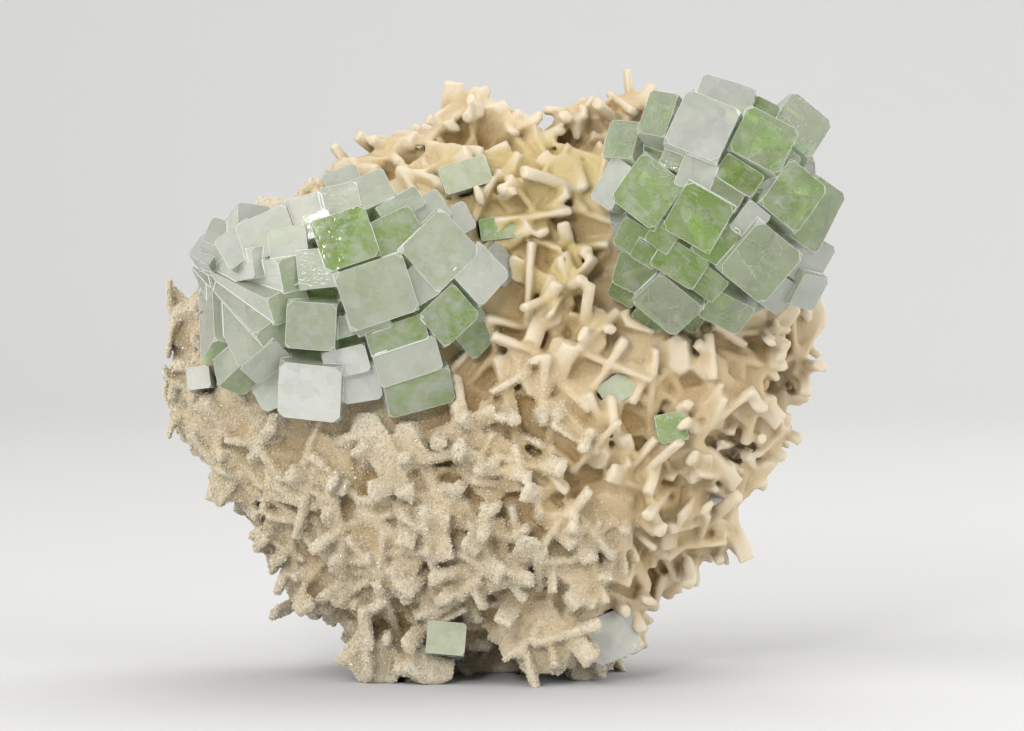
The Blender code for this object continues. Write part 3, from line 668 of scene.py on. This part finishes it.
def veil_tree():
    """Thin torn sheets inside a crystal, along the cleavage that lies under each end face."""
    tree = new_tree(
        "cleavage veils",
        [
            ("Per face", "NodeSocketInt", 3),
            ("Thickness", "NodeSocketFloat", 0.00003),
            ("Material", "NodeSocketMaterial", None),
        ],
    )
    given = tree.nodes.new("NodeGroupInput").outputs
    is_end = compared(tree, stored(tree, "end", "FLOAT"), "GREATER_THAN", 0.5)
    middles = node_in(
        tree, "GeometryNodeMeshToPoints", {"mode": "FACES"}, Mesh=given["Geometry"], Selection=is_end
    )
    copies = node_in(
        tree, "GeometryNodeDuplicateElements", {"domain": "POINT"}, Geometry=middles.outputs[0],
        Amount=given["Per face"],
    )
    width = stored(tree, "width", "FLOAT")
    out = stored(tree, "out", "FLOAT_VECTOR")
    facing = node_in(tree, "FunctionNodeAlignRotationToVector", {"axis": "Z"}, Vector=out).outputs[0]
    shift = node_in(
        tree, "FunctionNodeRotateVector", Vector=random_vector(tree, *VEIL_PLACES, 31), Rotation=facing
    )
    inside = node_in(
        tree, "GeometryNodeSetPosition", Geometry=copies.outputs[0],
        Offset=scaled_vector(tree, shift.outputs[0], width),
    )
    thick = node_in(tree, "ShaderNodeCombineXYZ", Z=given["Thickness"])
    scale = node_in(tree, "ShaderNodeVectorMath", {"operation": "ADD"})
    tree.links.new(scaled_vector(tree, random_vector(tree, *VEIL_SIZES, 32), width), scale.inputs[0])
    tree.links.new(thick.outputs[0], scale.inputs[1])
    tilted = node_in(tree, "FunctionNodeEulerToRotation", Euler=random_vector(tree, *VEIL_TILTS, 33))
    sheet = node_in(tree, "GeometryNodeMeshCylinder", Vertices=3, Radius=0.5, Depth=1.0)
    placed = node_in(
        tree, "GeometryNodeInstanceOnPoints", Points=inside.outputs[0], Instance=sheet.outputs["Mesh"],
        Rotation=turned_by(tree, facing, tilted.outputs[0]), Scale=scale.outputs[0],
    )
    finish_tree(tree, placed.outputs[0], given["Material"])
    return tree


def effect_group(name, inputs, output, kind):
    """A shader node group with named inputs, (name, type), and one output: what feeds both ends."""
    group = bpy.data.node_groups.new(name, "ShaderNodeTree")
    for socket_name, socket_kind in inputs:
        group.interface.new_socket(socket_name, in_out="INPUT", socket_type=socket_kind)
    group.interface.new_socket(output, in_out="OUTPUT", socket_type=kind)
    given = group.nodes.new("NodeGroupInput").outputs
    return group, given, group.nodes.new("NodeGroupOutput").inputs[0]


def effect_in(tree, group, **values):
    return node_in(tree, "ShaderNodeGroup", {"node_tree": group}, **values).outputs[0]


def growth_lines_group():
    """Noise drawn out into lines that run away from a centre, as the growth lines do."""
    group, given, result = effect_group(
        "growth lines", [("Centre", "NodeSocketVector"), ("Scale", "NodeSocketFloat")],
        "Lines", "NodeSocketFloat",
    )
    place = group.nodes.new("ShaderNodeTexCoord").outputs["Object"]
    away = node_in(group, "ShaderNodeVectorMath", {"operation": "SUBTRACT"}, Vector=place)
    group.links.new(given["Centre"], away.inputs[1])
    heading = node_in(group, "ShaderNodeVectorMath", {"operation": "NORMALIZE"}, Vector=away.outputs[0])
    texture = node_in(
        group, "ShaderNodeTexNoise", Vector=heading.outputs[0], Scale=given["Scale"], Detail=3.0
    )
    group.links.new(texture.outputs["Fac"], result)
    return group


def painted_inner_reflections_group():
    """Painted reflections: light and dark angular patches in the colour, standing in for the light and dark
    that the faces and cracks inside reflect through the crystal.
    """
    group, given, result = effect_group(
        "inner facets", [("Color", "NodeSocketColor")], "Color", "NodeSocketColor"
    )
    place = group.nodes.new("ShaderNodeTexCoord").outputs["Object"]
    wave = node_in(group, "ShaderNodeTexNoise", Vector=place, Scale=500.0)
    bent = node_in(
        group, "ShaderNodeVectorMath", {"operation": "MULTIPLY_ADD"}, Vector=wave.outputs["Color"]
    )
    bent.inputs[1].default_value = (FACET_BEND, FACET_BEND, FACET_BEND)
    group.links.new(place, bent.inputs[2])
    toned = given["Color"]
    for scale, shade, light in PAINTED_REFLECTION_LAYERS:
        cells = node_in(group, "ShaderNodeTexVoronoi", Vector=bent.outputs[0], Scale=scale)
        value = node_in(group, "ShaderNodeSeparateColor", Color=cells.outputs["Color"])
        reflected_dark = group.nodes.new("ShaderNodeMix")
        reflected_dark.data_type = "RGBA"
        reflected_dark.blend_type = "MULTIPLY"
        group.links.new(toned, reflected_dark.inputs[6])
        reflected_dark.inputs[7].default_value = (0.62, 0.70, 0.56, 1.0)
        group.links.new(spread(group, value.outputs[0], 0.35, 1.0, 0.0, shade), reflected_dark.inputs[0])
        reflected_light_share = spread(group, value.outputs[1], 0.82, 0.97, 0.0, light)
        toned = mixed(group, reflected_light_share, reflected_dark.outputs[2], (1.0, 1.0, 0.97))
    group.links.new(toned, result)
    return group


growth_lines = growth_lines_group()
painted_inner_reflections = painted_inner_reflections_group()


def apophyllite(name, clear, green, roughness, transmission, absorb, density, cloud, rays=None):
    """Clear to green crystal: see-through, with colour zones, faint clouds and growth lines."""
    material = bpy.data.materials.new(name)
    tree, shader = shader_of(material)
    patches = spread(tree, noise_in(tree, 260.0, 3.0, 0.6), 0.3, 0.6, 0.55, 1.15)
    zone = multiplied(tree, attribute(tree, "green"), patches)
    zone.node.use_clamp = True
    flecks = spread(tree, noise_in(tree, 1500.0, 5.0, 0.68), 0.52, 0.70, 0.0, cloud)
    coloured = mixed(tree, flecks, mixed(tree, zone, clear, green), (0.97, 0.98, 0.94))
    lines = noise_in(tree, 700.0, 3.0)
    if rays:
        lines = effect_in(tree, growth_lines, Centre=rays[0], Scale=rays[1])
        coloured = mixed(tree, spread(tree, lines, 0.45, 0.65, 0.0, 0.5), coloured, (0.98, 0.99, 0.97))
    # Painted reflections: light and dark patches laid over the crystal's colour.
    tree.links.new(effect_in(tree, painted_inner_reflections, Color=coloured), shader.inputs["Base Color"])
    tree.links.new(bumped(tree, lines, 0.00014 if rays else 0.00003, 0.7), shader.inputs["Normal"])
    satin = spread(tree, lines, 0.3, 0.7, roughness * 0.5, roughness * 1.6)
    tree.links.new(satin, shader.inputs["Roughness"])
    shader.inputs["Transmission Weight"].default_value = transmission
    shader.inputs["IOR"].default_value = 1.535
    volume = node_in(tree, "ShaderNodeVolumeAbsorption", Color=(*absorb, 1.0), Density=density)
    tree.links.new(volume.outputs[0], tree.nodes["Material Output"].inputs["Volume"])
    return material


# Painted highlight: white lines on the crystal's corners, and in its seams partly the joints' own frosted
# white, partly painted highlight.
seam_and_highlight_white = bpy.data.materials.new("apophyllite_seam")
tree, shader = shader_of(seam_and_highlight_white)
tree.links.new(
    mixed(tree, noise_in(tree, 900.0), (0.92, 0.96, 0.86), (1.0, 1.0, 0.98)), shader.inputs["Base Color"]
)
tree.links.new(spread(tree, noise_in(tree, 1500.0), 0.3, 0.7, 0.1, 0.4), shader.inputs["Roughness"])
shader.inputs["Transmission Weight"].default_value = 0.10
shader.inputs["IOR"].default_value = 1.45
lines_tree = seam_and_highlight_tree()

veil = bpy.data.materials.new("cleavage_veil")
tree, shader = shader_of(veil)
tree.links.new(
    mixed(tree, noise_in(tree, 1400.0), (0.90, 0.94, 0.86), (1.0, 1.0, 0.98)), shader.inputs["Base Color"]
)
tree.links.new(spread(tree, noise_in(tree, 2200.0), 0.3, 0.7, 0.10, 0.45), shader.inputs["Roughness"])
shader.inputs["Transmission Weight"].default_value = 0.35
shader.inputs["IOR"].default_value = 1.25
sheets_tree = veil_tree()


def add_fine_lines(crystal):
    """The bright lines along a crystal's edges, painted highlights on its corners and partly painted
    highlights in its seams, and the veils inside it, each a piece of its own.
    """
    seams = link(bpy.data.objects.new(crystal.name + "_seams", crystal.data.copy()))
    seams.data.materials.clear()
    run_tree(seams, lines_tree, {"Seam": SEAM_RADIUS, "Edge": HIGHLIGHT_LINE_RADIUS, "Material": seam_and_highlight_white})
    veils = link(bpy.data.objects.new(crystal.name + "_veils", crystal.data.copy()))
    veils.data.materials.clear()
    run_tree(
        veils, sheets_tree, {"Per face": VEILS_PER_FACE, "Thickness": VEIL_THICKNESS, "Material": veil}
    )
    for piece in (seams, veils):
        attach(piece, "root")


BALL_HEART = middle_of("apophyllite_ball") + Vector((0.0, 0.010, 0.0))
ball_materials = (
    apophyllite(
        "apophyllite_green", (1.0, 1.0, 0.92), (0.45, 0.66, 0.17), 0.01, 0.72,
        (0.85, 0.95, 0.62), 5.0, 0.45,
    ),
    apophyllite(
        "apophyllite_green_side", (1.0, 1.0, 0.97), (0.76, 0.89, 0.56), 0.02, 0.64,
        (0.85, 0.95, 0.62), 5.0, 0.50, (BALL_HEART, 42.0),
    ),
    apophyllite(
        "apophyllite_clear", (1.0, 1.0, 0.97), (0.84, 0.93, 0.68), 0.01, 0.60,
        (0.90, 0.96, 0.80), 4.0, 0.85,
    ),
    # Painted highlight: a whiter copy of the side material, for sides facing the lower left.
    apophyllite(
        "apophyllite_silvery", (1.0, 1.0, 0.97), (0.88, 0.95, 0.76), 0.04, 0.30,
        (0.90, 0.96, 0.80), 4.0, 0.60, (BALL_HEART, 42.0),
    ),
)
ball = flat_facets(
    "apophyllite_ball", "apophyllite_ball_crystals", BALL_HEART, BALL_SPOTS, ball_materials
)
add_fine_lines(ball)

# The apophyllite spray
# The left-hand cluster: milky, pale green blocks and long rays that spread from one point at the
# left. Their faces are satin, with fine growth lines along the rays.
SPRAY_SPOTS = (
    (-0.1, 8.9, 5.2, 0.95), (7.7, 9.7, 4.6, 0.85), (9.0, 14.3, 3.4, 0.9),
    (3.6, 16.8, 3.6, 0.6), (-1.0, 15.1, 3.0, 0.5), (17.3, -3.5, 4.8, 0.95),
    (21.4, -6.4, 3.4, 0.8), (6.4, -6.9, 2.6, 0.9), (10.2, -6.3, 2.6, 0.9),
    (11.1, -15.5, 4.6, 0.65), (-12.6, -16.0, 3.4, 0.85), (-0.1, -5.2, 2.2, 1.0),
    (-16.7, -5.6, 4.6, 0.5), (-8.4, 2.7, 4.6, 0.5), (-14.6, 0.6, 4.6, 0.45),
    (-19.2, -11.8, 3.6, 0.6), (-10.0, -3.5, 4.6, 0.5), (-5.0, 4.4, 3.4, 0.5),
    (15.2, 7.0, 4.0, 0.3), (5.0, 0.2, 3.4, 0.25), (-22.0, -4.0, 4.0, 0.5),
)
SPRAY_APEX = middle_of("apophyllite_spray") + Vector((-0.0235, 0.0060, 0.0030))
spray_materials = (
    apophyllite(
        "apophyllite_milky", (1.0, 1.0, 0.90), (0.52, 0.73, 0.25), 0.02, 0.66,
        (0.88, 0.97, 0.70), 5.0, 0.60, (SPRAY_APEX, 26.0),
    ),
    apophyllite(
        "apophyllite_milky_side", (0.99, 1.0, 0.90), (0.70, 0.86, 0.48), 0.03, 0.60,
        (0.88, 0.97, 0.70), 5.0, 0.50, (SPRAY_APEX, 60.0),
    ),
    apophyllite(
        "apophyllite_pearly", (1.0, 1.0, 0.93), (0.78, 0.90, 0.58), 0.02, 0.58,
        (0.88, 0.97, 0.74), 5.0, 0.85, (SPRAY_APEX, 26.0),
    ),
    # Painted highlight: a whiter copy of the side material, for sides facing the lower left.
    apophyllite(
        "apophyllite_pearly_side", (1.0, 1.0, 0.95), (0.80, 0.92, 0.64), 0.05, 0.35,
        (0.88, 0.97, 0.74), 5.0, 0.60, (SPRAY_APEX, 60.0),
    ),
)
spray = flat_facets(
    "apophyllite_spray", "apophyllite_spray_crystals", SPRAY_APEX, SPRAY_SPOTS, spray_materials
)
add_fine_lines(spray)

# The single crystals
# Eight small apophyllite crystals that grew on their own in the stilbite, some clear, some milky.
SINGLE_GREEN = {
    "apophyllite_single_crevice": 0.9,
    "apophyllite_single_right": 0.8,
    "apophyllite_single_centre": 0.4,
    "apophyllite_single_top": 0.35,
    "apophyllite_single_foot": 0.3,
}
single_materials = (
    apophyllite(
        "apophyllite_pale", (1.0, 0.98, 0.82), (0.46, 0.66, 0.22), 0.04, 0.40,
        (0.92, 0.95, 0.72), 6.0, 0.60,
    ),
    apophyllite(
        "apophyllite_pale_side", (1.0, 0.98, 0.86), (0.56, 0.74, 0.34), 0.05, 0.34,
        (0.92, 0.95, 0.72), 6.0, 0.50,
    ),
    apophyllite(
        "apophyllite_water_clear", (1.0, 0.99, 0.90), (0.56, 0.74, 0.34), 0.02, 0.40,
        (0.92, 0.95, 0.78), 6.0, 0.80,
    ),
    # Painted highlight: a whiter copy of the side material, for sides facing the lower left.
    apophyllite(
        "apophyllite_white_side", (1.0, 0.98, 0.90), (0.60, 0.76, 0.38), 0.05, 0.30,
        (0.92, 0.95, 0.78), 6.0, 0.60,
    ),
)
for node in sorted(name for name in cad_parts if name.startswith("apophyllite_single_")):
    tone = SINGLE_GREEN.get(node, 0.0)
    everywhere = ((0.0, 0.0, 20.0, tone),)
    middle = middle_of(node)
    root = middle + Vector((0.0, 0.004, 0.0))
    crystal = flat_facets(node, node.replace("single", "crystal"), root, everywhere, single_materials)
    add_fine_lines(crystal)

bpy.data.objects.remove(clusters)

# The floor, the lights and the camera
# A plain pale floor under soft studio light, seen from the photograph's low front view.
SWEEP_FRONT = -2.5
SWEEP_BACK = 1.3
SWEEP_BEND = 0.6
SWEEP_TOP = 2.6
SWEEP_HALF_WIDTH = 3.0
BEND_STEPS = 16
outline = [(SWEEP_FRONT, 0.0)]
for step in range(BEND_STEPS + 1):
    turn = math.pi / 2.0 * step / BEND_STEPS
    bend_y = SWEEP_BACK - SWEEP_BEND + SWEEP_BEND * math.sin(turn)
    outline.append((bend_y, SWEEP_BEND - SWEEP_BEND * math.cos(turn)))
outline.append((SWEEP_BACK, SWEEP_TOP))
bm = bmesh.new()
rows = [
    [bm.verts.new((side * SWEEP_HALF_WIDTH, y, z)) for side in (-1.0, 1.0)] for y, z in outline
]
for low, high in zip(rows, rows[1:]):
    bm.faces.new((low[0], low[1], high[1], high[0]))
floor_mesh = bpy.data.meshes.new("floor")
bm.to_mesh(floor_mesh)
bm.free()
floor_mesh.shade_smooth()
floor = link(bpy.data.objects.new("floor", floor_mesh))
paper = bpy.data.materials.new("pale paper")
tree, shader = shader_of(paper)
shader.inputs["Base Color"].default_value = (0.78, 0.78, 0.78, 1.0)
shader.inputs["Roughness"].default_value = 0.8
floor_mesh.materials.append(paper)

PIXELS_PER_METRE = 6000.0
IMAGE_SIZE = (1024.0, 731.0)
CAMERA_DISTANCE = 0.75
CAMERA_ELEVATION = math.radians(3.0)
SENSOR_WIDTH = 36.0
VIEW_CENTRE = Vector((0.0020, -0.0120, 0.0534))
LIT_MIDDLE = Vector((0.0, 0.0, 0.05))

camera_data = bpy.data.cameras.new("camera")
camera_data.sensor_width = SENSOR_WIDTH
camera_data.lens = SENSOR_WIDTH * CAMERA_DISTANCE * PIXELS_PER_METRE / IMAGE_SIZE[0]
camera_data.clip_start = 0.01
camera_data.clip_end = 20.0
camera = link(bpy.data.objects.new("camera", camera_data))
back = Vector((0.0, -math.cos(CAMERA_ELEVATION), math.sin(CAMERA_ELEVATION)))
camera.location = VIEW_CENTRE + back * CAMERA_DISTANCE
camera.rotation_euler = (math.pi / 2.0 - CAMERA_ELEVATION, 0.0, 0.0)
bpy.context.scene.camera = camera


def softbox(name, place, size, power, colour):
    """A square area light that faces the specimen's middle."""
    data = bpy.data.lights.new(name, "AREA")
    data.size = size
    data.energy = power
    data.color = colour
    lamp = link(bpy.data.objects.new(name, data))
    lamp.location = place
    towards = LIT_MIDDLE - Vector(place)
    lamp.rotation_euler = towards.to_track_quat("-Z", "Y").to_euler()


softbox("key", (-0.75, -0.75, 0.75), 1.30, 10.6, (1.0, 0.985, 0.96))
softbox("fill", (1.00, -0.60, 0.45), 1.10, 5.6, (1.0, 0.99, 0.98))
softbox("top", (0.20, 0.45, 1.10), 1.00, 5.5, (1.0, 1.0, 1.0))
softbox("edge", (0.85, 0.45, 0.35), 0.50, 2.6, (1.0, 1.0, 1.0))
softbox("spark", (-0.16, -0.62, 0.34), 0.10, 1.0, (1.0, 1.0, 1.0))

world = bpy.data.worlds.new("studio")
world.use_nodes = True
world.node_tree.nodes["Background"].inputs["Color"].default_value = (0.64, 0.635, 0.62, 1.0)
world.node_tree.nodes["Background"].inputs["Strength"].default_value = 0.48
bpy.context.scene.world = world
bpy.context.scene.view_settings.view_transform = "Standard"
bpy.context.scene.cycles.max_bounces = 7
bpy.context.scene.cycles.transmission_bounces = 6
bpy.context.scene.cycles.diffuse_bounces = 1
bpy.context.scene.cycles.glossy_bounces = 3
